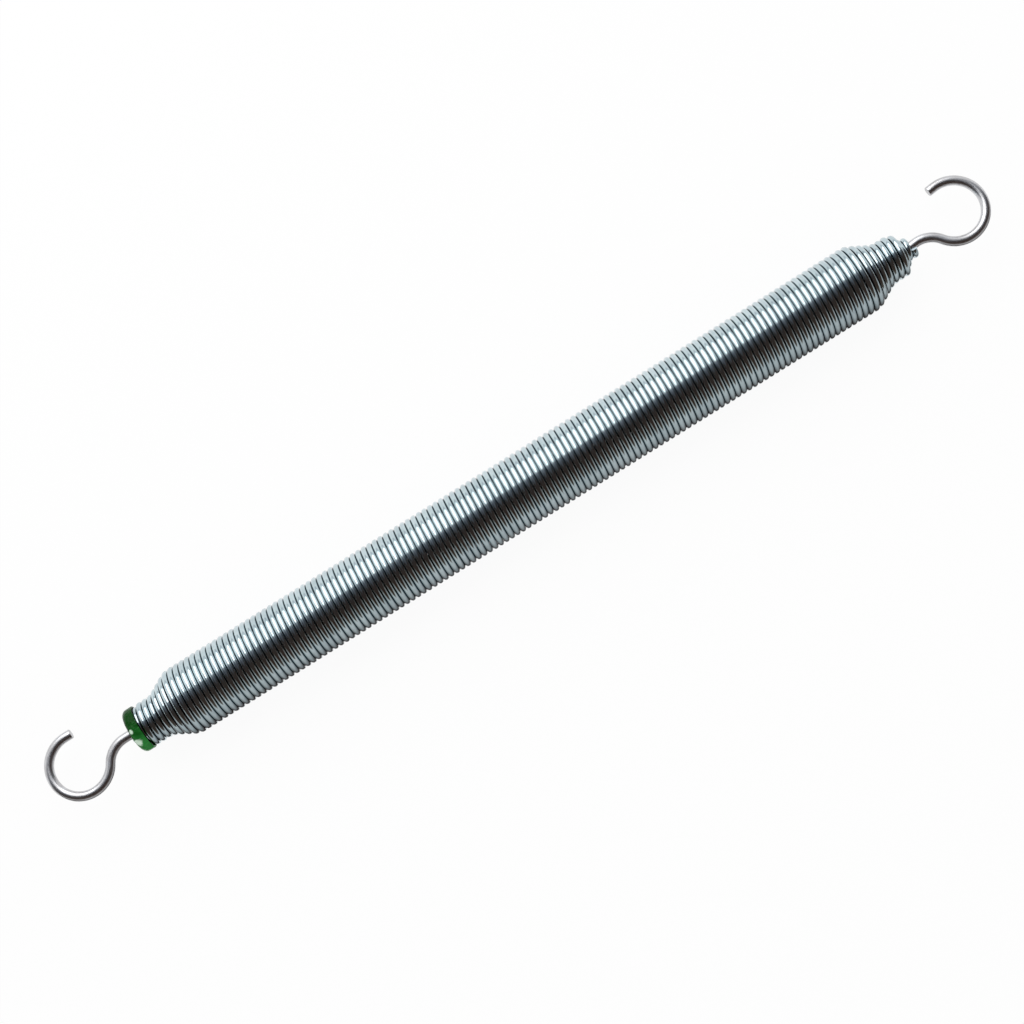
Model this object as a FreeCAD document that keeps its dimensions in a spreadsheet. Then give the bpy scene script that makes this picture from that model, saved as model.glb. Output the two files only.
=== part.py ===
import FreeCAD, Part
import math
import os

import Sketcher

# Exercise spring that lies on its side: axis along X, both hooks open towards +Y, floor at Z = 0,
# X = 0 at mid length. Lengths in millimetres, angles in degrees.
SIZES = {
    # coil
    "wire_diameter": "2.2",
    "wire_flats": "8",
    "turn_gap": "0.058",
    "cone_turn_gap": "0.12",
    "body_outer_diameter": "25.4",
    "neck_outer_diameter": "16.2",
    "body_length": "278",
    "taper_length": "8.5",
    "neck_length": "7",
    "closing_length": "1.4",
    "collar_turns": "1.6",
    "corner_ease": "1.5",
    # hooks
    "hook_wire_diameter": "3.5",
    "bow_radius": "10.95",
    "bow_offset": "0.5",
    "reverse_bend_radius": "9.5",
    "shank_length": "7.68",
    "tip_length": "2.8",
    "tip_chamfer": "0.3",
    "head_diameter": "6",
    "head_rim": "1.3",
    "head_edge_radius": "0.6",
    "swivel_clearance": "0.27",
    "head_clearance": "0.2",
    "plain_hook_push_in": "1.9",
    "plain_hook_lean": "6.2",
    # colour cap
    "cap_overhang": "0.15",
    "cap_wall": "0.6",
    "cap_length": "4.4",
    "cap_edge_radius": "2.1",
    "cap_standoff": "0.5",
    "cap_bore_clearance": "0.7",
    "cap_recess_room": "1.1",
}

# Sizes that follow from the ones above, so that mating pieces share them.
DERIVED = {
    "axis_height": "body_outer_diameter / 2",
    "body_wire_radius": "(body_outer_diameter - wire_diameter) / 2",
    "neck_wire_radius": "(neck_outer_diameter - wire_diameter) / 2",
    "collar_wire_radius": "hook_wire_diameter / 2 + swivel_clearance + wire_diameter / 2",
    "wire_corner_radius": "wire_diameter / 2 / cos(180 deg / wire_flats)",
    "turn_pitch": "wire_diameter + turn_gap",
    "neck_end": "body_length / 2 + taper_length + neck_length",
    "collar_start": "neck_end + closing_length",
    # the head's cone is at 45 degrees and stays clear of the first collar turn
    "head_cone_length": "(head_diameter - hook_wire_diameter) / 2",
    "head_inset": "(wire_diameter / 2 + head_clearance) * sqrt(2) - wire_diameter / 2 - swivel_clearance",
    # the cap's recess covers the closing turns, and its bore clears the collar
    "cap_outer_radius": "neck_outer_diameter / 2 + cap_overhang",
    "cap_recess_radius": "cap_outer_radius - cap_wall",
    "cap_recess_depth": "closing_length + cap_recess_room - cap_standoff",
    "cap_bore_radius": "collar_wire_radius + wire_diameter / 2 + cap_bore_clearance",
}

# Straight pieces that stand for a rounded corner of the coil's meridian.
EASE_STEPS = 8

doc = FreeCAD.newDocument("exercise_spring")
sheet = doc.addObject("Spreadsheet::Sheet", "Sizes")


def fill_sheet():
    cells = list(SIZES.items()) + [(name, f"={rule}") for name, rule in DERIVED.items()]
    for row, (name, content) in enumerate(cells, start=1):
        sheet.set(f"A{row}", name.replace("_", " "))
        sheet.set(f"B{row}", content)
        sheet.setAlias(f"B{row}", name)
    doc.recompute()


def size(name):
    return float(sheet.get(name))


def origin_plane(body, role):
    return next(plane for plane in body.Origin.OriginFeatures if plane.Role == role)


def new_body(label):
    body = doc.addObject("PartDesign::Body", label)
    body.Label = label
    return body


def attach(feature, body, role):
    feature.AttachmentSupport = [(origin_plane(body, role), "")]
    feature.MapMode = "FlatFace"


def new_sketch(body, name, role):
    sketch = body.newObject("Sketcher::SketchObject", name)
    attach(sketch, body, role)
    return sketch


def dimension(sketch, constraint, name, expression):
    """Add a named dimension to a sketch and drive it from the sheet."""
    index = sketch.addConstraint(constraint)
    sketch.renameConstraint(index, name)
    sketch.setExpression(f"Constraints.{name}", expression)


def edge_name(shape, edge):
    return f"Edge{[each.hashCode() for each in shape.Edges].index(edge.hashCode()) + 1}"


# Coil. The wire follows a meridian of straight runs, and each half turn of it is a semicircle.


def coil_meridian():
    """Corners (x, radius) of the wire's centre line, from mid length out to the wire's end."""
    runs = [
        (size("body_length") / 2, size("body_wire_radius")),
        (size("taper_length"), size("neck_wire_radius")),
        (size("neck_length"), size("neck_wire_radius")),
        (size("closing_length"), size("collar_wire_radius")),
        (size("collar_turns") * size("turn_pitch"), size("collar_wire_radius")),
    ]
    corners = [(0.0, size("body_wire_radius"))]
    for run_length, end_radius in runs:
        corners.append((corners[-1][0] + run_length, end_radius))
    return corners


def between(start, end, share):
    return tuple(a + share * (b - a) for a, b in zip(start, end))


def eased(corners):
    """The meridian with each corner rounded off over the same length of both its runs."""
    reach = size("corner_ease")
    line = [corners[0]]
    for before, corner, after in zip(corners, corners[1:], corners[2:]):
        start = between(corner, before, reach / math.dist(corner, before))
        end = between(corner, after, reach / math.dist(corner, after))
        for step in range(EASE_STEPS + 1):
            share = step / EASE_STEPS
            line.append(between(between(start, corner, share), between(corner, end, share), share))
    return line + corners[-1:]


def meridian_point(line, distance):
    """Point at a distance along the meridian, or None past its end."""
    for start, end in zip(line, line[1:]):
        run = math.dist(start, end)
        if distance <= run:
            return between(start, end, distance / run)
        distance -= run
    return None


def turn_spacing(step, flats):
    """What a step (advance, growth) from turn to turn measures square to the wire's flats."""
    angles = [2 * math.pi * flat / flats for flat in range(flats)]
    return max(step[0] * math.cos(angle) + step[1] * math.sin(angle) for angle in angles)


def turns_clear(step, last_step, flats):
    """True if turns keep their gap here, and all along the half turn back to the crossing before."""
    gap = size("cone_turn_gap" if abs(step[1]) > 1e-6 else "turn_gap")
    here = turn_spacing(step, flats) - gap
    ways_back = [between(step, last_step, part / EASE_STEPS) for part in range(1, EASE_STEPS)]
    half_turn_back = min(turn_spacing(way, flats) for way in ways_back) - size("turn_gap")
    return min(here, half_turn_back) >= size("wire_diameter") - 1e-6


def next_crossing(line, travelled, turn, last_step, flats):
    """Distance along the meridian where the wire first clears the turn before it."""
    too_near = travelled
    clear = travelled + 2 * size("turn_pitch")
    while clear - too_near > 1e-7:
        middle = (too_near + clear) / 2
        point = meridian_point(line, middle)
        if point is None or turns_clear((point[0] - turn[0], point[1] - turn[1]), last_step, flats):
            clear = middle
        else:
            too_near = middle
    return clear


def coil_crossings(flats):
    """(x, radius) of the wire each time it passes through the hooks' plane, from end to end."""
    line = eased(coil_meridian())
    travelled = size("turn_pitch") / 2
    crossings = [line[0], meridian_point(line, travelled)]
    last_step = (size("turn_pitch"), 0.0)
    while True:
        turn = crossings[-2]
        travelled = next_crossing(line, travelled, turn, last_step, flats)
        point = meridian_point(line, travelled)
        if point is None:
            break
        last_step = (point[0] - turn[0], point[1] - turn[1])
        crossings.append(point)
    other_half = [(-x, radius) for x, radius in reversed(crossings[1:])]
    return other_half + crossings


def wire_section(crossing, side, flats):
    """Corners of the wire's section, drawn with flats, where it passes through the hooks' plane."""
    corners = []
    for flat in range(flats):
        angle = 2 * math.pi * (flat + 0.5) / flats
        x = crossing[0] + size("wire_corner_radius") * math.cos(angle)
        radius = crossing[1] + size("wire_corner_radius") * math.sin(angle)
        corners.append(FreeCAD.Vector(x, side * radius, 0))
    return corners


def half_turn_arc(start, end, side):
    """Semicircle that meets the hooks' plane squarely at both ends."""
    middle = (start + end) * 0.5
    middle.z = -side * (end - start).Length / 2
    return Part.Arc(start, middle, end).toShape()


def half_turn_faces(start, end, side):
    arcs = [half_turn_arc(a, b, side) for a, b in zip(start, end)]
    return [Part.makeRuledSurface(arcs[index - 1], arc) for index, arc in enumerate(arcs)]


def make_coil():
    """Left-hand coil: ruled strips between semicircles, closed by the wire's two cut ends."""
    flats = int(size("wire_flats"))
    crossings = coil_crossings(flats)
    middle = len(crossings) // 2
    sides = [-1 if (index - middle) % 2 == 0 else 1 for index in range(len(crossings))]
    sections = [wire_section(each, side, flats) for each, side in zip(crossings, sides)]
    faces = []
    for start, end, side in zip(sections, sections[1:], sides):
        faces.extend(half_turn_faces(start, end, side))
    for section in (sections[0], sections[-1]):
        faces.append(Part.Face(Part.makePolygon(section + section[:1])))
    shell = Part.makeShell(faces)
    shell.sewShape()
    solid = Part.makeSolid(shell)
    if solid.Volume < 0:
        solid.reverse()
    coil = doc.addObject("Part::Feature", "spring_coil")
    coil.Label = "spring_coil"
    coil.Shape = solid
    coil.setExpression("Placement.Base.z", "Sizes.axis_height")
    return coil


# Hooks. Own frame: X outwards along the shank, X = 0 where the shank leaves the head.


def hook_line(body):
    """Centre line: shank, reverse bend, bow, and a straight tip that runs on from the bow's top."""
    shank = size("shank_length")
    reverse = size("reverse_bend_radius")
    bow = size("bow_radius")
    offset = size("bow_offset")
    tail = size("tip_length")
    meeting = math.acos((reverse + offset) / (bow + reverse))
    reach = (bow + reverse) * math.sin(meeting)
    upright = FreeCAD.Vector(0, 0, 1)
    reverse_circle = Part.Circle(FreeCAD.Vector(shank, -reverse, 0), upright, reverse)
    bow_circle = Part.Circle(FreeCAD.Vector(shank + reach, offset, 0), upright, bow)

    sketch = new_sketch(body, "hook_line", "XY_Plane")
    line = sketch.addGeometry(Part.LineSegment(FreeCAD.Vector(), FreeCAD.Vector(shank, 0, 0)))
    bend = sketch.addGeometry(Part.ArcOfCircle(reverse_circle, math.pi / 2 - meeting, math.pi / 2))
    loop = sketch.addGeometry(Part.ArcOfCircle(bow_circle, 1.5 * math.pi - meeting, 2.5 * math.pi))
    top = FreeCAD.Vector(shank + reach, offset + bow, 0)
    tip = sketch.addGeometry(Part.LineSegment(top, top - FreeCAD.Vector(tail, 0, 0)))
    sketch.addConstraint(Sketcher.Constraint("Coincident", line, 1, -1, 1))
    sketch.addConstraint(Sketcher.Constraint("Horizontal", line))
    sketch.addConstraint(Sketcher.Constraint("Tangent", line, 2, bend, 2))
    sketch.addConstraint(Sketcher.Constraint("Tangent", bend, 1, loop, 1))
    sketch.addConstraint(Sketcher.Constraint("Tangent", loop, 2, tip, 1))
    sketch.addConstraint(Sketcher.Constraint("Horizontal", tip))
    bow_height = Sketcher.Constraint("DistanceY", -1, 1, loop, 3, offset)
    dimension(sketch, Sketcher.Constraint("Distance", line, shank), "shank", "Sizes.shank_length")
    dimension(sketch, Sketcher.Constraint("Radius", bend, reverse), "bend", "Sizes.reverse_bend_radius")
    dimension(sketch, Sketcher.Constraint("Radius", loop, bow), "bow", "Sizes.bow_radius")
    dimension(sketch, bow_height, "offset", "Sizes.bow_offset")
    dimension(sketch, Sketcher.Constraint("Distance", tip, tail), "tip", "Sizes.tip_length")
    return sketch


def hook_section(body):
    sketch = new_sketch(body, "hook_section", "YZ_Plane")
    radius = size("hook_wire_diameter") / 2
    circle = sketch.addGeometry(Part.Circle(FreeCAD.Vector(), FreeCAD.Vector(0, 0, 1), radius))
    sketch.addConstraint(Sketcher.Constraint("Coincident", circle, 3, -1, 1))
    wire = Sketcher.Constraint("Radius", circle, radius)
    dimension(sketch, wire, "wire", "Sizes.hook_wire_diameter / 2")
    return sketch


def upset_head(body):
    """Head that seats behind the collar: a cone, then a rim with a rounded inner edge."""
    cone = body.newObject("PartDesign::AdditiveCone", "head_cone")
    attach(cone, body, "YZ_Plane")
    cone.setExpression("Radius1", "Sizes.head_diameter / 2")
    cone.setExpression("Radius2", "Sizes.hook_wire_diameter / 2")
    cone.setExpression("Height", "Sizes.head_cone_length")
    cone.setExpression("AttachmentOffset.Base.z", "-Sizes.head_cone_length")
    rim = body.newObject("PartDesign::AdditiveCylinder", "head_rim")
    attach(rim, body, "YZ_Plane")
    rim.setExpression("Radius", "Sizes.head_diameter / 2")
    rim.setExpression("Height", "Sizes.head_rim")
    rim.setExpression("AttachmentOffset.Base.z", "-Sizes.head_cone_length - Sizes.head_rim")
    doc.recompute()
    inner_edge = min(rim.Shape.Edges, key=lambda edge: edge.CenterOfMass.x)
    rounding = body.newObject("PartDesign::Fillet", "head_rounding")
    rounding.Base = (rim, [edge_name(rim.Shape, inner_edge)])
    rounding.setExpression("Radius", "Sizes.head_edge_radius")
    doc.recompute()
    return rounding


def make_hook(label):
    body = new_body(label)
    line = hook_line(body)
    section = hook_section(body)
    doc.recompute()
    bent_wire = body.newObject("PartDesign::AdditivePipe", "bent_wire")
    bent_wire.Profile = section
    bent_wire.Spine = (line, ["Edge1", "Edge2", "Edge3", "Edge4"])
    doc.recompute()
    head = upset_head(body)
    tip_run = line.Shape.Edges[-1]
    tip = min((vertex.Point for vertex in tip_run.Vertexes), key=lambda point: point.x)
    rings = [edge for edge in head.Shape.Edges if edge.isClosed()]
    tip_edge = min(rings, key=lambda edge: (edge.CenterOfMass - tip).Length)
    bevel = body.newObject("PartDesign::Chamfer", "tip_bevel")
    bevel.Base = (head, [edge_name(head.Shape, tip_edge)])
    bevel.setExpression("Size", "Sizes.tip_chamfer")
    body.Tip = bevel
    return body


def place_hook(body, outwards, push_in, lean):
    """Put a hook on the coil's axis, leaning in the hooks' plane about the middle of its collar."""
    seat = f"{outwards} * (Sizes.collar_start - Sizes.head_inset - {push_in})"
    turn = 0 if outwards > 0 else 180
    pivot = f"(Sizes.head_inset + {push_in} + Sizes.collar_turns * Sizes.turn_pitch / 2)"
    on_axis = f"placement(vector({seat}; 0; Sizes.axis_height); rotation(vector(0; 1; 0); {turn}))"
    leaning = f"placement(vector({pivot}; 0; 0); rotation(vector(0; 0; 1); {lean}))"
    from_pivot = f"placement(vector(-{pivot}; 0; 0); rotation(vector(0; 0; 1); 0))"
    body.setExpression("Placement", f"{on_axis} * {leaning} * {from_pivot}")


# Colour cap. Own frame: X outwards, X = 0 at the rim that faces the last neck turn.


def cap_section(body):
    """Half section of the ring: rim, outer wall, outer face, bore and recess."""
    points = [
        (None, "cap_recess_radius"),
        (None, "cap_outer_radius"),
        ("cap_length", "cap_outer_radius"),
        ("cap_length", "cap_bore_radius"),
        ("cap_recess_depth", "cap_bore_radius"),
        ("cap_recess_depth", "cap_recess_radius"),
    ]
    places = [FreeCAD.Vector(size(x) if x else 0, size(y), 0) for x, y in points]
    sketch = new_sketch(body, "cap_section", "XY_Plane")
    count = len(points)
    for index in range(count):
        sketch.addGeometry(Part.LineSegment(places[index], places[(index + 1) % count]))
    for index, (x, y) in enumerate(points):
        sketch.addConstraint(Sketcher.Constraint("Coincident", index, 2, (index + 1) % count, 1))
        height = Sketcher.Constraint("DistanceY", -1, 1, index, 1, size(y))
        dimension(sketch, height, f"height_{index}", f"Sizes.{y}")
        if x is None:
            sketch.addConstraint(Sketcher.Constraint("PointOnObject", index, 1, -2))
        else:
            reach = Sketcher.Constraint("DistanceX", -1, 1, index, 1, size(x))
            dimension(sketch, reach, f"reach_{index}", f"Sizes.{x}")
    return sketch


def make_cap():
    body = new_body("colour_cap")
    section = cap_section(body)
    doc.recompute()
    ring = body.newObject("PartDesign::Revolution", "cap_ring")
    ring.Profile = section
    ring.ReferenceAxis = (section, ["H_Axis"])
    ring.Angle = 360
    doc.recompute()
    face_edges = [edge for edge in ring.Shape.Edges if edge.isClosed()]
    outer_edge = max(face_edges, key=lambda edge: (round(edge.CenterOfMass.x, 3), edge.Length))
    rounding = body.newObject("PartDesign::Fillet", "cap_rounding")
    rounding.Base = (ring, [edge_name(ring.Shape, outer_edge)])
    rounding.setExpression("Radius", "Sizes.cap_edge_radius")
    body.Tip = rounding
    body.Placement.Rotation = FreeCAD.Rotation(FreeCAD.Vector(0, 1, 0), 180)
    body.setExpression("Placement.Base.x", "-Sizes.neck_end - Sizes.cap_standoff")
    body.setExpression("Placement.Base.z", "Sizes.axis_height")
    return body


def write_parts(pieces):
    doc.recompute()
    for feature in doc.Objects:
        if "Invalid" in feature.State or "Error" in feature.State:
            raise RuntimeError(f"{feature.Name} did not build: {feature.State}")
    for piece in pieces:
        if piece.Shape.isNull() or not piece.Shape.isValid():
            raise RuntimeError(f"{piece.Label} has no valid shape")
    os.makedirs("parts", exist_ok=True)
    for piece in pieces:
        piece.Shape.exportStep(f"parts/{piece.Label}.step")


fill_sheet()
spring_coil = make_coil()
plain_end_hook = make_hook("plain_end_hook")
place_hook(plain_end_hook, 1, "Sizes.plain_hook_push_in", "Sizes.plain_hook_lean")
cap_end_hook = make_hook("cap_end_hook")
place_hook(cap_end_hook, -1, "0", "0")
colour_cap = make_cap()
write_parts([spring_coil, plain_end_hook, cap_end_hook, colour_cap])
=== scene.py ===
import math

import bmesh
import bpy
from mathutils import Matrix, Vector
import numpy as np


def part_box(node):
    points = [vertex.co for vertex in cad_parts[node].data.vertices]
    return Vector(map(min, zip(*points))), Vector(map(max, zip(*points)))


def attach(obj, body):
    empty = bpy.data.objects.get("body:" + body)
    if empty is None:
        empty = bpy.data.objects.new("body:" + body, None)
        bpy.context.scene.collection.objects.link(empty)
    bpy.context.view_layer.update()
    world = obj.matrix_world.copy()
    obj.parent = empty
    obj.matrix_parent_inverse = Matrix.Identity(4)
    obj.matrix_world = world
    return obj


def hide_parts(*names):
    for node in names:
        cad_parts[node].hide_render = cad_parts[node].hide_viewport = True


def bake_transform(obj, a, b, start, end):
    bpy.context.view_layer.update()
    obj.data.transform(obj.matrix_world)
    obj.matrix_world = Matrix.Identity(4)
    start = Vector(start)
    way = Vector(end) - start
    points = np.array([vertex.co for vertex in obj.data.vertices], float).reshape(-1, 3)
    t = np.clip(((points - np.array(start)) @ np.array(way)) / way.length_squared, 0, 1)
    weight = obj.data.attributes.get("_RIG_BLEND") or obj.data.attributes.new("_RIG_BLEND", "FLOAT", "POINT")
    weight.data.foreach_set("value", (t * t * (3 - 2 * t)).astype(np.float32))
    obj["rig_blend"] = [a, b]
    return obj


bl_info = {
    "name": "Exercise spring",
    "version": (1, 0, 0),
    "blender": (4, 5, 0),
    "location": "3D View > Sidebar > Exercise Spring",
    "description": "Close-wound extension spring with swivel hooks and a colour cap, on a studio stage",
    "category": "Object",
}

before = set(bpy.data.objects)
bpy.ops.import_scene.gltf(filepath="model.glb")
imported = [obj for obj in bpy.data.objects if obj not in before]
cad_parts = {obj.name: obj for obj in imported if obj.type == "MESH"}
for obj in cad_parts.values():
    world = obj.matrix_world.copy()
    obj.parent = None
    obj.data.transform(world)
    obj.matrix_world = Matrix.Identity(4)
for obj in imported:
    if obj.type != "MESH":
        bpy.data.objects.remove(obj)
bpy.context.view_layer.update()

# Coil ends as (length along the axis, radius of the wire's centre line) in metres, outwards from the body.
BODY_HALF_LENGTH = 0.139
WIRE_END_RUNS = ((0.0085, 0.007), (0.007, 0.007), (0.0014, 0.00312), (0.003613, 0.00312))
CORNER_EASE = 0.0015
EASE_STEPS = 8
STEPS_PER_HALF_TURN = 16
WIRE_SIDES = 16
# How far the wire's cut end runs on round the plain end's shank.
END_RISE = math.radians(60)

# Directions in which neighbouring turns are kept apart, square to the flats of an eight-sided wire.
TURN_DIRECTIONS = [Vector((math.cos(math.pi * step / 4), math.sin(math.pi * step / 4))) for step in range(8)]

# Tolerances in metres: turns that count as clear, search for a turn's place, merged and matched points.
CLEAR_TOLERANCE = 2e-8
SEARCH_STEP = 1e-8
MERGE_DISTANCE = 1e-6
MATCH_DISTANCE = 1e-5

HOOK_SIDES = 28
REVERSE_BEND_STEPS = 14
BOW_STEPS = 52
TIP_BEVEL = 0.0003
# Hook's head behind the shank: a cone that opens to the head's radius, then (length, widening) to its back.
HEAD_CONE_LENGTH = 0.00125
HEAD_BACK_RUNS = ((0.0007, 1.0), (0.0004, 0.95), (0.0002, 0.85))

CAP_SIDES = 72
CAP_SMALL_EDGE = 0.00022
# Painted glints on the cap's rim above the shank, as pale spots, as (centre, radius).
CAP_PAINTED_GLINTS = (((-0.1582, -0.0052, 0.0188), 0.0018), ((-0.1584, -0.0008, 0.0206), 0.001))

# Share of the floor's own white in what is seen of it, and light of the room on the object.
FLOOR_GLOW = 0.93
ROOM_FILL = 0.7

# Studio tent, seen in reflections only, glowing to paint the metal's reflections: tones round the spring's
# axis, in degrees from straight above towards the far side. Pale beyond the lamp, dark over the near side, a
# pale strip of table, then painted shadow of the spring.
TENT_TONES = (
    (90, "C8CCD0"), (50, "F0F2F4"), (30, "E0E4E8"), (0, "5C6068"), (-24, "383230"), (-64, "40322C"),
    (-91, "605850"), (-95, "D0D0D0"), (-110, "C0C0C0"), (-130, "3A3230"),
)
TENT_HALF_WIDTH = 1.0
TENT_RADIUS = 0.7
LAMP_WINDOW_HALF_WIDTH = 0.3
TENT_TABLE_START = 0.013
TENT_TABLE_LIFT = 0.0005
TENT_STEPS = 24
# Radians by which the tones bow back for each metre from mid length.
TENT_BOW = 0.35

# Camera: the x and y that it aims at, how far off it stands, and the spring's rise in the picture.
CAMERA_AIM = (-0.007, -0.0047)
CAMERA_STAND_OFF = Vector((0, -0.133, 0.7427))
CAMERA_LENS = 76.4
CAMERA_SENSOR = 36
PICTURE_RISE = math.radians(32)


def length_property(name, description, metres):
    return bpy.props.FloatProperty(name=name, description=description, default=metres, unit="LENGTH")


class SpringSizes(bpy.types.PropertyGroup):
    """Sizes of the coil, the hooks and the colour cap."""

    axis_height: length_property("Axis height", "Height of the spring's axis above the floor", 0.0127)
    wire_diameter: length_property("Coil wire", "Diameter of the coil's round wire", 0.0022)
    turn_pitch: length_property("Pitch", "Spacing of neighbouring turns", 0.002258)
    cone_turn_gap: length_property(
        "Gap in the cones", "Gap between turns where their radius changes", 0.00012
    )
    body_wire_radius: length_property(
        "Body radius", "Radius of the wire's centre line in the straight body", 0.0116
    )
    hook_wire: length_property("Hook wire", "Diameter of the hooks' wire", 0.0035)
    bow_radius: length_property("Bow radius", "Radius of a hook's bow at mid wire", 0.01095)
    bow_offset: length_property("Bow offset", "How far the bow's centre stands off the shank's line", 0.0005)
    reverse_bend_radius: length_property("Reverse bend", "Radius of the bend from shank to bow", 0.0095)
    shank_length: length_property("Shank", "Straight length from head to bend", 0.00768)
    tip_length: length_property("Tip", "Straight length that runs on from the bow's top", 0.0028)
    head_radius: length_property("Head radius", "Radius of the upset head behind the collar", 0.003)
    cap_end_seat: length_property(
        "Cap end seat", "Where the cap end's shank leaves its head, along the axis", -0.155432
    )
    plain_end_seat: length_property(
        "Plain end seat", "Where the plain end's shank leaves its head, along the axis", 0.153532
    )
    collar_middle: length_property(
        "Collar middle",
        "Distance from the plain end's seat to the middle of its collar, where the hook leans",
        0.004175,
    )
    plain_end_lean: bpy.props.FloatProperty(
        name="Plain end lean",
        description="Lean of the plain end's hook in the hooks' plane",
        default=math.radians(6.2),
        subtype="ANGLE",
    )
    cap_length: length_property("Cap length", "Length of the colour cap", 0.0044)
    cap_edge_radius: length_property("Cap edge", "Rounding of the cap's outer edge", 0.0021)


def linear_colour(code):
    """Linear RGBA of an sRGB hex colour."""
    values = [int(code[index : index + 2], 16) / 255 for index in (0, 2, 4)]
    linear = [v / 12.92 if v <= 0.04045 else ((v + 0.055) / 1.055) ** 2.4 for v in values]
    return (*linear, 1.0)


def colour_property(name, description, code):
    return bpy.props.FloatVectorProperty(
        name=name, description=description, default=linear_colour(code), size=4, subtype="COLOR", min=0, max=1
    )


class SpringColours(bpy.types.PropertyGroup):
    """Colours of the finishes, with painted light and shade on the coil and the cap."""

    zinc_light: colour_property("Zinc, clean", "Bright zinc plate where it is clean", "C8D7DC")
    zinc_dull: colour_property("Zinc, dull", "Bright zinc plate where it is handled", "B4C4CA")
    # This dark colour is painted shade between the turns, where the turns shade each other.
    painted_groove_shade: colour_property("Grime", "Oil and dust in the grooves between turns", "302E2F")
    hook_light: colour_property("Hook, clean", "Plated hook wire where it is clean", "D2D3D6")
    hook_dull: colour_property("Hook, dull", "Plated hook wire where it rubs", "BEBCBD")
    # These two greens are lit and shaded copies of the cap's green: painted light, not wall thickness.
    cap_green_in_painted_light: colour_property("Cap, light", "Green plastic where the wall is thin", "2E8039")
    cap_green_in_painted_shade: colour_property("Cap, dark", "Green plastic where the wall is thick", "043E07")
    # This pale colour is painted glints on the rim, not scuffs.
    cap_painted_glint: colour_property("Cap, scuffed", "Green plastic where its rim is scuffed", "D4EAD6")


def add_node(tree, kind, inputs=None, **settings):
    """Add a node, set its settings, and set or link its inputs."""
    node = tree.nodes.new(kind)
    for name, value in settings.items():
        setattr(node, name, value)
    for name, value in (inputs or {}).items():
        if isinstance(value, bpy.types.NodeSocket):
            tree.links.new(value, node.inputs[name])
        else:
            node.inputs[name].default_value = value
    return node


def new_material(name):
    material = bpy.data.materials.new(name)
    material.use_nodes = True
    material.node_tree.nodes.clear()
    return material, material.node_tree


def per_metre(millimetres):
    """Scale of a pattern whose features are this many millimetres wide."""
    return 1000 / millimetres


def drawn_zinc(colours):
    """Bright zinc plate on drawn spring wire: mirror-like, a little milky, fine lines along the wire."""
    material, tree = new_material("bright_zinc_on_drawn_wire")
    place = add_node(tree, "ShaderNodeTexCoord").outputs["Object"]
    bloom = add_node(
        tree, "ShaderNodeTexNoise", {"Vector": place, "Scale": per_metre(9), "Detail": 5.0, "Roughness": 0.65}
    )
    tone = add_node(tree, "ShaderNodeValToRGB", {"Fac": bloom.outputs["Fac"]})
    tone.color_ramp.elements[0].position = 0.3
    tone.color_ramp.elements[0].color = colours.zinc_dull
    tone.color_ramp.elements[1].position = 0.6
    tone.color_ramp.elements[1].color = colours.zinc_light
    # painted shade on the flanks, deepest between the turns where the turns shade each other
    sideways = add_node(tree, "ShaderNodeAttribute", attribute_name="sideways").outputs["Fac"]
    groove_shade_mask = add_node(tree, "ShaderNodeMapRange", {"Value": sideways, "From Min": 0.8, "From Max": 0.96})
    zinc_with_painted_shade = add_node(
        tree,
        "ShaderNodeMix",
        {0: groove_shade_mask.outputs["Result"], 6: tone.outputs["Color"], 7: colours.painted_groove_shade},
        data_type="RGBA",
    ).outputs[2]
    gloss = add_node(
        tree,
        "ShaderNodeMapRange",
        {"Value": bloom.outputs["Fac"], "From Min": 0.3, "From Max": 0.7, "To Min": 0.16, "To Max": 0.1},
    )
    # drawing lines, coarser than real ones so that they show, which lie across the spring's axis
    stretched = add_node(
        tree,
        "ShaderNodeMapping",
        {"Vector": place, "Scale": (per_metre(0.25), per_metre(5), per_metre(5))},
    )
    lines = add_node(
        tree, "ShaderNodeTexNoise", {"Vector": stretched.outputs["Vector"], "Scale": 1.0, "Detail": 2.0}
    )
    relief = add_node(
        tree, "ShaderNodeBump", {"Height": lines.outputs["Fac"], "Strength": 0.25, "Distance": 0.00004}
    )
    shader = add_node(
        tree,
        "ShaderNodeBsdfPrincipled",
        {
            "Base Color": zinc_with_painted_shade,
            "Metallic": 1.0,
            "Roughness": gloss.outputs["Result"],
            "Normal": relief.outputs["Normal"],
        },
    )
    add_node(tree, "ShaderNodeOutputMaterial", {"Surface": shader.outputs["BSDF"]})
    return material


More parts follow.
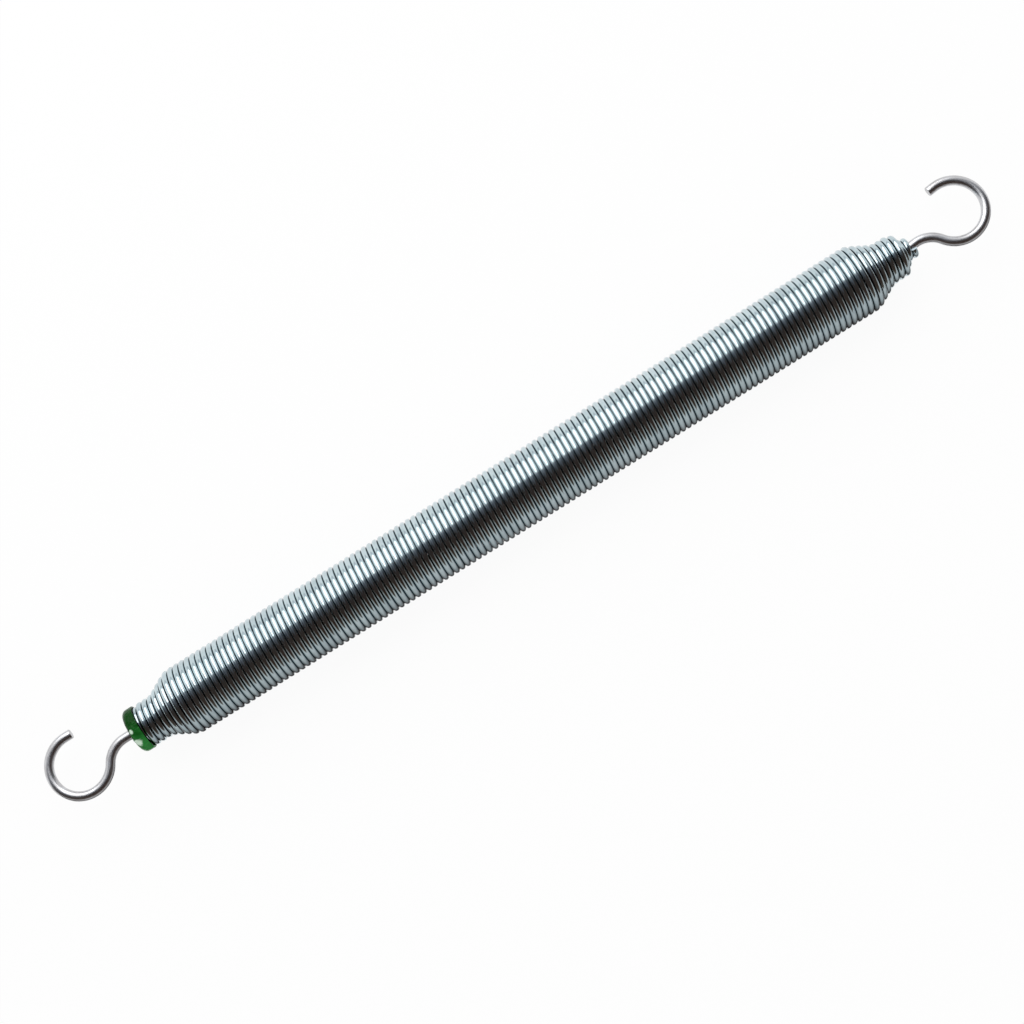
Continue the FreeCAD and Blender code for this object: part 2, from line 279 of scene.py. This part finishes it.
def rubbed_zinc(colours):
    """Zinc plate on bent hook wire: greyer than the coil, with a fine grain and rubbed patches."""
    material, tree = new_material("rubbed_zinc_on_hook_wire")
    place = add_node(tree, "ShaderNodeTexCoord").outputs["Object"]
    rubbing = add_node(
        tree, "ShaderNodeTexNoise", {"Vector": place, "Scale": per_metre(6), "Detail": 6.0, "Roughness": 0.7}
    )
    tone = add_node(tree, "ShaderNodeValToRGB", {"Fac": rubbing.outputs["Fac"]})
    tone.color_ramp.elements[0].position = 0.32
    tone.color_ramp.elements[0].color = colours.hook_dull
    tone.color_ramp.elements[1].position = 0.62
    tone.color_ramp.elements[1].color = colours.hook_light
    gloss = add_node(
        tree,
        "ShaderNodeMapRange",
        {"Value": rubbing.outputs["Fac"], "From Min": 0.3, "From Max": 0.7, "To Min": 0.34, "To Max": 0.27},
    )
    grain = add_node(
        tree,
        "ShaderNodeTexNoise",
        {"Vector": place, "Scale": per_metre(0.45), "Detail": 3.0, "Roughness": 0.6},
    )
    relief = add_node(
        tree, "ShaderNodeBump", {"Height": grain.outputs["Fac"], "Strength": 0.05, "Distance": 0.00004}
    )
    shader = add_node(
        tree,
        "ShaderNodeBsdfPrincipled",
        {
            "Base Color": tone.outputs["Color"],
            "Metallic": 1.0,
            "Roughness": gloss.outputs["Result"],
            "Normal": relief.outputs["Normal"],
        },
    )
    add_node(tree, "ShaderNodeOutputMaterial", {"Surface": shader.outputs["BSDF"]})
    return material


def green_vinyl(colours):
    """Moulded soft vinyl: deep green, lighter on its near side by painted light, with painted glints on its
    rim and a faint ripple.
    """
    material, tree = new_material("moulded_green_vinyl")
    place = add_node(tree, "ShaderNodeTexCoord").outputs["Object"]
    cloud = add_node(
        tree, "ShaderNodeTexNoise", {"Vector": place, "Scale": per_metre(4), "Detail": 4.0, "Roughness": 0.6}
    )
    across = add_node(tree, "ShaderNodeSeparateXYZ", {"Vector": place}).outputs["Y"]
    # painted light: the green grows lighter towards the cap's near side, added to a random cloud of tone
    lighter = add_node(
        tree,
        "ShaderNodeMapRange",
        {"Value": across, "From Min": 0.005, "From Max": -0.0085, "To Min": -0.45, "To Max": 0.38},
    )
    depth = add_node(
        tree, "ShaderNodeMath", {0: cloud.outputs["Fac"], 1: lighter.outputs["Result"]}, operation="ADD"
    )
    tone = add_node(tree, "ShaderNodeValToRGB", {"Fac": depth.outputs["Value"]})
    tone.color_ramp.elements[0].position = 0.3
    tone.color_ramp.elements[0].color = colours.cap_green_in_painted_shade
    tone.color_ramp.elements[1].position = 0.85
    tone.color_ramp.elements[1].color = colours.cap_green_in_painted_light
    ripple = add_node(
        tree,
        "ShaderNodeTexNoise",
        {"Vector": place, "Scale": per_metre(1.6), "Detail": 2.0, "Roughness": 0.5},
    )
    # painted glints: pale spots with a broken edge
    colour = tone.outputs["Color"]
    for centre, radius in CAP_PAINTED_GLINTS:
        away = add_node(tree, "ShaderNodeVectorMath", {0: place, 1: centre}, operation="DISTANCE")
        broken = add_node(
            tree,
            "ShaderNodeMath",
            {0: ripple.outputs["Fac"], 1: -radius, 2: away.outputs["Value"]},
            operation="MULTIPLY_ADD",
        )
        painted_glint = add_node(
            tree,
            "ShaderNodeMapRange",
            {"Value": broken.outputs["Value"], "From Min": 0.5 * radius, "From Max": 0.1 * radius},
        )
        colour = add_node(
            tree,
            "ShaderNodeMix",
            {0: painted_glint.outputs["Result"], 6: colour, 7: colours.cap_painted_glint},
            data_type="RGBA",
        ).outputs[2]
    relief = add_node(
        tree, "ShaderNodeBump", {"Height": ripple.outputs["Fac"], "Strength": 1.0, "Distance": 0.0006}
    )
    shader = add_node(
        tree,
        "ShaderNodeBsdfPrincipled",
        {
            "Base Color": colour,
            "Roughness": 0.2,
            "Specular IOR Level": 0.1,
            "Normal": relief.outputs["Normal"],
        },
    )
    add_node(tree, "ShaderNodeOutputMaterial", {"Surface": shader.outputs["BSDF"]})
    return material


def between(start, end, share):
    return start + share * (end - start)


def eased_meridian(sizes):
    """Line (x, radius) that the wire's turns follow from mid length out, with rounded corners."""
    corners = [Vector((0, sizes.body_wire_radius)), Vector((BODY_HALF_LENGTH, sizes.body_wire_radius))]
    for run_length, end_radius in WIRE_END_RUNS:
        corners.append(Vector((corners[-1].x + run_length, end_radius)))
    line = corners[:1]
    for before, corner, after in zip(corners, corners[1:], corners[2:]):
        start = corner + (before - corner).normalized() * CORNER_EASE
        end = corner + (after - corner).normalized() * CORNER_EASE
        for step in range(EASE_STEPS + 1):
            share = step / EASE_STEPS
            line.append(between(between(start, corner, share), between(corner, end, share), share))
    return line + corners[-1:]


def point_along(line, distance):
    """Point at a distance along a line, or None past its end."""
    for start, end in zip(line, line[1:]):
        run = (end - start).length
        if distance <= run:
            return between(start, end, distance / run)
        distance -= run
    return None


def turn_spacing(step):
    return max(step.dot(direction) for direction in TURN_DIRECTIONS)


def turns_clear(step, last_step, sizes):
    """True if turns keep their gap here, and all along the half turn back to the crossing before."""
    in_cone = abs(step.y) > SEARCH_STEP
    gap = sizes.cone_turn_gap if in_cone else sizes.turn_pitch - sizes.wire_diameter
    here = turn_spacing(step) - gap - sizes.wire_diameter
    ways_back = [between(step, last_step, part / EASE_STEPS) for part in range(1, EASE_STEPS)]
    half_turn_back = min(turn_spacing(way) for way in ways_back) - sizes.turn_pitch
    return min(here, half_turn_back) >= -CLEAR_TOLERANCE


def next_crossing(line, travelled, turn, last_step, sizes):
    """Distance along the meridian where the wire first clears the turn before it."""
    too_near = travelled
    clear = travelled + 2 * sizes.turn_pitch
    while clear - too_near > SEARCH_STEP:
        middle = (too_near + clear) / 2
        point = point_along(line, middle)
        if point is None or turns_clear(point - turn, last_step, sizes):
            clear = middle
        else:
            too_near = middle
    return clear


def wire_crossings(sizes):
    """Where the wire passes through the hooks' plane, twice a turn, from the cap end to the plain end."""
    line = eased_meridian(sizes)
    travelled = sizes.turn_pitch / 2
    outwards = [line[0], point_along(line, travelled)]
    last_step = Vector((sizes.turn_pitch, 0))
    while True:
        turn = outwards[-2]
        travelled = next_crossing(line, travelled, turn, last_step, sizes)
        point = point_along(line, travelled)
        if point is None:
            break
        last_step = point - turn
        outwards.append(point)
    crossings = []
    for index in range(1 - len(outwards), len(outwards)):
        x, radius = outwards[abs(index)]
        side = -1 if index % 2 == 0 else 1
        crossings.append(Vector((math.copysign(x, index), side * radius, sizes.axis_height)))
    return crossings


def wind_wire(mesh, crossings):
    """Left-hand wire line: a point spun half a turn at a time from crossing to crossing."""
    shape = bmesh.new()
    last = bmesh.ops.create_vert(shape, co=crossings[0])["vert"]
    for start, end in zip(crossings, crossings[1:]):
        across = (start - end) / 2
        turned = bmesh.ops.spin(
            shape,
            geom=last,
            cent=(start + end) / 2,
            axis=across.cross(Vector((0, 0, math.copysign(1, -across.y)))).normalized(),
            angle=math.pi,
            steps=STEPS_PER_HALF_TURN,
        )
        last = [element for element in turned["geom_last"] if isinstance(element, bmesh.types.BMVert)]
    # the cut end at the plain hook stands up beside the shank
    collar = Vector((crossings[-1].x, 0, crossings[-1].z))
    bmesh.ops.spin(
        shape, geom=last, cent=collar, axis=(-1, 0, 0), angle=END_RISE, steps=STEPS_PER_HALF_TURN // 2
    )
    bmesh.ops.remove_doubles(shape, verts=shape.verts, dist=MERGE_DISTANCE)
    shape.to_mesh(mesh)
    shape.free()


def round_wire_nodes(wire_diameter, material):
    """Geometry nodes that give a wire line its round section and cut ends."""
    tree = bpy.data.node_groups.new("round_wire", "GeometryNodeTree")
    tree.interface.new_socket("Geometry", in_out="INPUT", socket_type="NodeSocketGeometry")
    tree.interface.new_socket("Geometry", in_out="OUTPUT", socket_type="NodeSocketGeometry")
    line = add_node(tree, "NodeGroupInput").outputs["Geometry"]
    path = add_node(tree, "GeometryNodeMeshToCurve", {"Mesh": line})
    # the section's flats, not its corners, lie on the wire's true circle
    section = add_node(
        tree,
        "GeometryNodeCurvePrimitiveCircle",
        {"Resolution": WIRE_SIDES, "Radius": wire_diameter / 2 / math.cos(math.pi / WIRE_SIDES)},
    )
    tube = add_node(
        tree,
        "GeometryNodeCurveToMesh",
        {"Curve": path.outputs["Curve"], "Profile Curve": section.outputs["Curve"], "Fill Caps": True},
    )
    smooth = add_node(tree, "GeometryNodeSetShadeSmooth", {"Geometry": tube.outputs["Mesh"]})
    # flanks that face a neighbouring turn, marked for the painted shade between the turns
    normal = add_node(tree, "GeometryNodeInputNormal").outputs[0]
    facing = add_node(tree, "ShaderNodeSeparateXYZ", {"Vector": normal})
    sideways = add_node(tree, "ShaderNodeMath", {0: facing.outputs["X"]}, operation="ABSOLUTE")
    marked = add_node(
        tree,
        "GeometryNodeStoreNamedAttribute",
        {"Geometry": smooth.outputs["Geometry"], "Name": "sideways", "Value": sideways.outputs["Value"]},
        data_type="FLOAT",
        domain="POINT",
    )
    coated = add_node(
        tree, "GeometryNodeSetMaterial", {"Geometry": marked.outputs["Geometry"], "Material": material}
    )
    add_node(tree, "NodeGroupOutput", {"Geometry": coated.outputs["Geometry"]})
    return tree


def new_piece(name, material):
    mesh = bpy.data.meshes.new(name)
    mesh.materials.append(material)
    piece = bpy.data.objects.new(name, mesh)
    bpy.context.scene.collection.objects.link(piece)
    return piece


class SPRING_OT_wind_coil(bpy.types.Operator):
    """Wind the coil's round wire along the body, the tapers, the necks and the closing turns"""

    bl_idname = "exercise_spring.wind_coil"
    bl_label = "Wind Coil"

    def execute(self, context):
        sizes = context.scene.spring_sizes
        material = drawn_zinc(context.scene.spring_colours)
        coil = new_piece("wound_coil", material)
        wind_wire(coil.data, wire_crossings(sizes))
        section = coil.modifiers.new("round_wire", "NODES")
        section.node_group = round_wire_nodes(sizes.wire_diameter, material)
        # the straight body stretches, and each end keeps its turns closed on its hook
        plain_end = (BODY_HALF_LENGTH, 0, sizes.axis_height)
        cap_end = (-BODY_HALF_LENGTH, 0, sizes.axis_height)
        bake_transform(coil, "coil", "cap_end", start=plain_end, end=cap_end)
        # even shares from one end of the body to the other, so that its turns open evenly
        for vertex, share in zip(coil.data.vertices, coil.data.attributes["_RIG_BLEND"].data):
            along = (BODY_HALF_LENGTH - vertex.co.x) / (2 * BODY_HALF_LENGTH)
            share.value = min(max(along, 0), 1)
        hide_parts("spring_coil")
        return {"FINISHED"}


def ring_vertices(edges):
    return list({vertex for edge in edges for vertex in edge.verts})


def pull_ring(shape, edges, advance, widen=1.0):
    """Extrude a ring of edges along X and widen it about the X axis."""
    pulled = bmesh.ops.extrude_edge_only(shape, edges=edges)["geom"]
    new_edges = [element for element in pulled if isinstance(element, bmesh.types.BMEdge)]
    vertices = [element for element in pulled if isinstance(element, bmesh.types.BMVert)]
    ring = [edge for edge in new_edges if all(vertex in vertices for vertex in edge.verts)]
    bmesh.ops.translate(shape, verts=vertices, vec=(advance, 0, 0))
    bmesh.ops.scale(shape, verts=vertices, vec=(1, widen, widen))
    return ring


def bend_ring(shape, edges, centre, angle, steps):
    """Spin a ring of edges about an upright line, counter-clockwise for a positive angle."""
    bent = bmesh.ops.spin(
        shape, geom=ring_vertices(edges) + edges, cent=centre, axis=(0, 0, 1), angle=angle, steps=steps
    )
    return [element for element in bent["geom_last"] if isinstance(element, bmesh.types.BMEdge)]


def round_edges(shape, edges, radius, segments=3):
    bmesh.ops.bevel(
        shape, geom=edges, offset=radius, segments=segments, profile=0.5, affect="EDGES", material=-1
    )


def bend_hook(mesh, sizes, place):
    """Hook of round wire: upset head, shank, reverse bend, bow and straight tip with a bevelled cut."""
    wire_radius = sizes.hook_wire / 2
    reverse = sizes.reverse_bend_radius
    meeting = math.acos((reverse + sizes.bow_offset) / (sizes.bow_radius + reverse))
    reach = (sizes.bow_radius + reverse) * math.sin(meeting)
    shape = bmesh.new()
    facing_x = Matrix.Rotation(math.pi / 2, 4, "Y")
    start = bmesh.ops.create_circle(shape, segments=HOOK_SIDES, radius=wire_radius, matrix=facing_x)["verts"]
    first = [edge for edge in shape.edges if edge.verts[0] in start]
    # head: a cone, a rim, then a rounded edge and a flat back
    back = pull_ring(shape, first, -HEAD_CONE_LENGTH, sizes.head_radius / wire_radius)
    for length, widen in HEAD_BACK_RUNS:
        back = pull_ring(shape, back, -length, widen)
    bmesh.ops.edgeloop_fill(shape, edges=back)
    front = pull_ring(shape, first, sizes.shank_length)
    bend_centre = Vector((sizes.shank_length, -reverse, 0))
    front = bend_ring(shape, front, bend_centre, -meeting, REVERSE_BEND_STEPS)
    bow_centre = Vector((sizes.shank_length + reach, sizes.bow_offset, 0))
    front = bend_ring(shape, front, bow_centre, math.pi + meeting, BOW_STEPS)
    front = pull_ring(shape, front, -sizes.tip_length)
    bmesh.ops.edgeloop_fill(shape, edges=front)
    round_edges(shape, front, TIP_BEVEL)
    bmesh.ops.recalc_face_normals(shape, faces=shape.faces)
    bmesh.ops.transform(shape, matrix=place, verts=shape.verts)
    shape.to_mesh(mesh)
    shape.free()
    mesh.shade_smooth()
    mesh.set_sharp_from_angle(angle=math.radians(38))


class SPRING_OT_bend_hooks(bpy.types.Operator):
    """Bend both open hooks and seat their heads behind the closing turns"""

    bl_idname = "exercise_spring.bend_hooks"
    bl_label = "Bend Hooks"

    def execute(self, context):
        sizes = context.scene.spring_sizes
        material = rubbed_zinc(context.scene.spring_colours)
        turned = Matrix.Rotation(math.pi, 4, "Y")
        to_collar = Matrix.Translation((sizes.collar_middle, 0, 0))
        leaning = to_collar @ Matrix.Rotation(sizes.plain_end_lean, 4, "Z") @ to_collar.inverted()
        hooks = (
            ("cap_end_bent_hook", "cap_end_hook", "cap_hook", sizes.cap_end_seat, turned),
            ("plain_end_bent_hook", "plain_end_hook", "plain_hook", sizes.plain_end_seat, leaning),
        )
        for name, node, body, seat, turn in hooks:
            hook = new_piece(name, material)
            bend_hook(hook.data, sizes, Matrix.Translation((seat, 0, sizes.axis_height)) @ turn)
            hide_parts(node)
            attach(hook, body)
        return {"FINISHED"}


def mould_cap(mesh, sizes, inner_end):
    """Ring with a recess over the closing turns and a bore round the collar, spun from its half section."""
    outer, recess, bore = 0.00825, 0.00765, 0.00492
    depth = 0.002
    length = sizes.cap_length
    half_section = (
        (0, recess), (0, outer), (length, outer), (length, bore), (depth, bore), (depth, recess),
    )
    shape = bmesh.new()
    corners = [shape.verts.new((inner_end - x, 0, sizes.axis_height + radius)) for x, radius in half_section]
    outline = [shape.edges.new((corners[index - 1], corner)) for index, corner in enumerate(corners)]
    axis_point = Vector((0, 0, sizes.axis_height))
    bmesh.ops.spin(
        shape,
        geom=corners + outline,
        cent=axis_point,
        axis=(1, 0, 0),
        angle=2 * math.pi,
        steps=CAP_SIDES,
        use_merge=True,
    )
    bmesh.ops.remove_doubles(shape, verts=shape.verts, dist=MERGE_DISTANCE)
    bmesh.ops.recalc_face_normals(shape, faces=shape.faces)

    def is_ring(edge, x, radius):
        return all(
            abs(vertex.co.x - inner_end + x) < MATCH_DISTANCE
            and abs((vertex.co - axis_point).yz.length - radius) < MATCH_DISTANCE
            for vertex in edge.verts
        )

    outer_edge = [edge for edge in shape.edges if is_ring(edge, length, outer)]
    small_edges = [
        edge for edge in shape.edges
        if any(is_ring(edge, *corner) for corner in ((0, recess), (0, outer), (length, bore)))
    ]
    round_edges(shape, outer_edge, sizes.cap_edge_radius, segments=7)
    round_edges(shape, [edge for edge in small_edges if edge.is_valid], CAP_SMALL_EDGE)
    shape.to_mesh(mesh)
    shape.free()
    mesh.shade_smooth()
    mesh.set_sharp_from_angle(angle=math.radians(40))


class SPRING_OT_mould_cap(bpy.types.Operator):
    """Mould the green colour cap over the closing turns of one end"""

    bl_idname = "exercise_spring.mould_cap"
    bl_label = "Mould Cap"

    def execute(self, context):
        sizes = context.scene.spring_sizes
        cap = new_piece("moulded_cap", green_vinyl(context.scene.spring_colours))
        mould_cap(cap.data, sizes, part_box("colour_cap")[1][0])
        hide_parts("colour_cap")
        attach(cap, "cap_end")
        return {"FINISHED"}


def seen_directly(tree):
    """1 for rays that show a surface as it is: camera, mirror and see-through rays."""
    rays = add_node(tree, "ShaderNodeLightPath").outputs
    either = add_node(
        tree,
        "ShaderNodeMath",
        {0: rays["Is Camera Ray"], 1: rays["Is Glossy Ray"]},
        operation="MAXIMUM",
    )
    return add_node(
        tree,
        "ShaderNodeMath",
        {0: either.outputs["Value"], 1: rays["Is Transmission Ray"]},
        operation="MAXIMUM",
    ).outputs["Value"]


def lay_floor():
    """White paper floor that keeps a soft shadow."""
    material, tree = new_material("white_paper")
    paper = add_node(tree, "ShaderNodeBsdfDiffuse", {"Color": linear_colour("F2F2F2")})
    glow = add_node(tree, "ShaderNodeEmission", {"Color": (1, 1, 1, 1), "Strength": 1.0})
    share = add_node(
        tree, "ShaderNodeMath", {0: seen_directly(tree), 1: FLOOR_GLOW}, operation="MULTIPLY"
    )
    mixed = add_node(
        tree,
        "ShaderNodeMixShader",
        {"Fac": share.outputs["Value"], 1: paper.outputs["BSDF"], 2: glow.outputs["Emission"]},
    )
    add_node(tree, "ShaderNodeOutputMaterial", {"Surface": mixed.outputs["Shader"]})
    floor = new_piece("floor", material)
    shape = bmesh.new()
    bmesh.ops.create_grid(shape, x_segments=1, y_segments=1, size=20)
    shape.to_mesh(floor.data)
    shape.free()


def angle_about_axis(tree, sizes):
    """Angle of a point about the spring's axis: 0 straight above, positive far off, less at the ends."""
    place = add_node(tree, "ShaderNodeTexCoord").outputs["Object"]
    parts = add_node(tree, "ShaderNodeSeparateXYZ", {"Vector": place}).outputs
    height = add_node(tree, "ShaderNodeMath", {0: parts["Z"], 1: sizes.axis_height}, operation="SUBTRACT")
    angle = add_node(tree, "ShaderNodeMath", {0: parts["Y"], 1: height.outputs["Value"]}, operation="ARCTAN2")
    along = add_node(tree, "ShaderNodeMath", {0: parts["X"]}, operation="ABSOLUTE")
    bowed = add_node(
        tree,
        "ShaderNodeMath",
        {0: along.outputs["Value"], 1: -TENT_BOW, 2: angle.outputs["Value"]},
        operation="MULTIPLY_ADD",
    )
    return bowed.outputs["Value"]


def hang_painted_reflection_tent(sizes):
    """Glowing tent over the near side, open to the lamp, seen in reflections only: painted reflections that
    the metal shows as its dark bands.
    """
    material, tree = new_material("painted_reflection_tones")
    first, last = TENT_TONES[0][0], TENT_TONES[-1][0]
    share = add_node(
        tree,
        "ShaderNodeMapRange",
        {
            "Value": angle_about_axis(tree, sizes),
            "From Min": math.radians(first),
            "From Max": math.radians(last),
        },
    )
    tone = add_node(tree, "ShaderNodeValToRGB", {"Fac": share.outputs["Result"]})
    stops = tone.color_ramp.elements
    while len(stops) < len(TENT_TONES):
        stops.new(1.0)
    for stop, (angle, code) in zip(stops, TENT_TONES):
        stop.position = (angle - first) / (last - first)
        stop.color = linear_colour(code)
    # painted reflections: the tent glows in these tones, and only reflections show it
    glow = add_node(tree, "ShaderNodeEmission", {"Color": tone.outputs["Color"], "Strength": 1.0})
    add_node(tree, "ShaderNodeOutputMaterial", {"Surface": glow.outputs["Emission"]})
    tent = new_piece("painted_reflection_tent", material)
    shape = bmesh.new()
    axis_point = Vector((0, 0, sizes.axis_height))
    width, radius, window = TENT_HALF_WIDTH, TENT_RADIUS, LAMP_WINDOW_HALF_WIDTH
    outline = ((-width, 0), (-width, radius), (width, radius), (width, 0))
    left_flap, right_flap = (
        ((side * width, 0), (side * width, radius), (side * window, radius)) for side in (-1, 1)
    )
    # roof with closed ends over the near side, flaps that narrow the lamp's window, low wall on the far
    # side, each from one angle to another in degrees
    spans = ((outline, 14, -90), (left_flap, 36, 14), (right_flap, 36, 14), (outline[1:3], 88, 72))
    for corners, start, end in spans:
        points = [shape.verts.new(axis_point + Vector((x, 0, height))) for x, height in corners]
        edges = [shape.edges.new(pair) for pair in zip(points, points[1:])]
        turn = Matrix.Rotation(math.radians(-start), 3, "X")
        bmesh.ops.rotate(shape, verts=points, cent=axis_point, matrix=turn)
        bmesh.ops.spin(
            shape,
            geom=points + edges,
            cent=axis_point,
            axis=(1, 0, 0),
            angle=math.radians(start - end),
            steps=TENT_STEPS,
        )
    # table on the near side, seen in reflections only, with painted shadow darkening it next to the spring
    middle, half_depth = (TENT_RADIUS + TENT_TABLE_START) / 2, (TENT_RADIUS - TENT_TABLE_START) / 2
    table = Matrix.Translation((0, -middle, TENT_TABLE_LIFT)) @ Matrix.Diagonal((width, half_depth, 1, 1))
    bmesh.ops.create_grid(shape, x_segments=1, y_segments=1, size=1, matrix=table)
    shape.to_mesh(tent.data)
    shape.free()
    tent.visible_camera = False
    tent.visible_diffuse = False
    tent.visible_shadow = False


def hang_lamp(name, place, aim, size, power):
    lamp = bpy.data.lights.new(name, "AREA")
    lamp.shape = "RECTANGLE"
    lamp.size, lamp.size_y = size
    lamp.energy = power
    stand = bpy.data.objects.new(name, lamp)
    stand.location = place
    stand.rotation_euler = (Vector(aim) - Vector(place)).to_track_quat("-Z", "Y").to_euler()
    stand.visible_camera = False
    bpy.context.scene.collection.objects.link(stand)


def light_room():
    """Pale room that fills the shadows."""
    world = bpy.data.worlds.new("pale_room")
    bpy.context.scene.world = world
    world.use_nodes = True
    tree = world.node_tree
    tree.nodes.clear()
    strength = add_node(
        tree,
        "ShaderNodeMath",
        {0: seen_directly(tree), 1: 1 - ROOM_FILL, 2: ROOM_FILL},
        operation="MULTIPLY_ADD",
    )
    room = add_node(
        tree, "ShaderNodeBackground", {"Color": (1, 1, 1, 1), "Strength": strength.outputs["Value"]}
    )
    add_node(tree, "ShaderNodeOutputWorld", {"Surface": room.outputs["Background"]})


def place_camera(sizes):
    """Camera almost straight above, turned so that the spring rises to the right."""
    camera = bpy.data.cameras.new("camera")
    camera.sensor_width = CAMERA_SENSOR
    camera.lens = CAMERA_LENS
    aim = Vector((*CAMERA_AIM, sizes.axis_height))
    place = aim + CAMERA_STAND_OFF
    back = (place - aim).normalized()
    along = Vector((1, 0, 0))
    along = (along - along.dot(back) * back).normalized()
    across = back.cross(along)
    right = math.cos(PICTURE_RISE) * along - math.sin(PICTURE_RISE) * across
    up = math.sin(PICTURE_RISE) * along + math.cos(PICTURE_RISE) * across
    turn = Matrix((right, up, back)).transposed().to_4x4()
    stand = bpy.data.objects.new("camera", camera)
    stand.matrix_world = Matrix.Translation(place) @ turn
    bpy.context.scene.collection.objects.link(stand)
    bpy.context.scene.camera = stand


class SPRING_OT_set_stage(bpy.types.Operator):
    """Lay the white floor, hang the lamp and the glowing tent of painted reflections, and place the camera"""

    bl_idname = "exercise_spring.set_stage"
    bl_label = "Set Stage"

    def execute(self, context):
        context.scene.view_settings.view_transform = "Standard"
        light_room()
        lay_floor()
        hang_painted_reflection_tent(context.scene.spring_sizes)
        hang_lamp("far_softbox", place=(0, 0.63, 0.68), aim=(0, 0, 0.012), size=(1.0, 1.1), power=4.9)
        place_camera(context.scene.spring_sizes)
        return {"FINISHED"}


class SPRING_PT_panel(bpy.types.Panel):
    bl_idname = "SPRING_PT_panel"
    bl_label = "Exercise Spring"
    bl_space_type = "VIEW_3D"
    bl_region_type = "UI"
    bl_category = "Exercise Spring"

    def draw(self, context):
        for group in (context.scene.spring_sizes, context.scene.spring_colours):
            box = self.layout.box()
            for name in group.__annotations__:
                box.prop(group, name)
        for operator in OPERATORS:
            self.layout.operator(operator.bl_idname)


OPERATORS = (SPRING_OT_wind_coil, SPRING_OT_bend_hooks, SPRING_OT_mould_cap, SPRING_OT_set_stage)
CLASSES = (SpringSizes, SpringColours, *OPERATORS, SPRING_PT_panel)


def register():
    for each in CLASSES:
        bpy.utils.register_class(each)
    bpy.types.Scene.spring_sizes = bpy.props.PointerProperty(type=SpringSizes)
    bpy.types.Scene.spring_colours = bpy.props.PointerProperty(type=SpringColours)


def unregister():
    del bpy.types.Scene.spring_colours
    del bpy.types.Scene.spring_sizes
    for each in reversed(CLASSES):
        bpy.utils.unregister_class(each)


def main():
    register()
    bpy.ops.exercise_spring.wind_coil()
    bpy.ops.exercise_spring.bend_hooks()
    bpy.ops.exercise_spring.mould_cap()
    bpy.ops.exercise_spring.set_stage()


if __name__ == "__main__":
    main()
